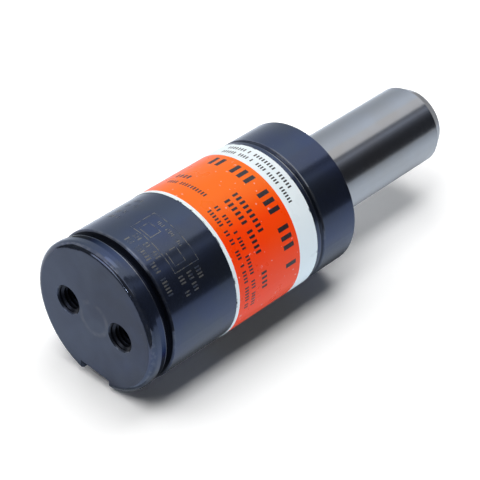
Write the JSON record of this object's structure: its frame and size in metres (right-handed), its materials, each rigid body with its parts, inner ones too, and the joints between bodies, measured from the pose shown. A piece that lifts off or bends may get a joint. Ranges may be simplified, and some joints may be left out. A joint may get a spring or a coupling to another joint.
{
  "type": "nitrogen die spring",
  "caption": "Gas die spring: dark steel cylinder with clamping grooves, threaded base and orange label, and a polished piston rod that is pushed in against gas.",
  "frame": {"origin": "centre of the cylinder's base face", "axes": "+Z along the piston rod, away from the base; X through the two base threads; +Y towards the charging port"},
  "size_m": [0.0452, 0.0452, 0.1353],
  "materials": {
    "oxide_steel": "black oxide, satin",
    "label_film": "semi-gloss film",
    "rod_steel": "ground and hardened",
    "plain_steel": "turned",
    "bronze": "turned",
    "seal_rubber": "matt",
    "seal_plastic": "matt",
    "cap_plastic": "matt"
  },
  "bodies": {
    "cylinder": {"cylinder_tube": "oxide_steel", "label": "label_film", "guide_bush": "bronze", "guide_band": "seal_plastic", "rod_seal": "seal_plastic", "seal_support_ring": "cap_plastic", "guide_o_ring": "seal_rubber", "guide_backup_ring": "cap_plastic", "retaining_ring": "plain_steel", "dust_cap": "cap_plastic", "rod_wiper": "seal_rubber", "valve_body": "bronze", "valve_o_ring": "seal_rubber", "valve_spring": "plain_steel", "plug_seal": "bronze", "port_plug": "oxide_steel"},
    "wear_band": {"piston_wear_band": "seal_plastic"},
    "rod": {"piston_rod": "rod_steel", "piston": "plain_steel", "piston_lock_ring": "plain_steel"},
    "poppet": {"valve_poppet": "plain_steel", "poppet_seal": "seal_rubber"}
  },
  "joints": [
    {"name": "rod_stroke", "type": "slide", "parent": "cylinder", "child": "wear_band", "axis": [0, 0, 1], "range_m": [-0.05, 0], "stiffness_N_per_m": 750, "springref_m": 0.1},
    {"name": "rod_turn", "type": "hinge", "parent": "wear_band", "child": "rod", "pos_m": [0, 0, 0.1], "axis": [0, 0, 1], "continuous": true},
    {"name": "poppet_push", "type": "slide", "parent": "cylinder", "child": "poppet", "axis": [0, -1, 0], "range_m": [0, 0.0008], "stiffness_N_per_m": 200, "deforming": ["valve_spring"]}
  ]
}
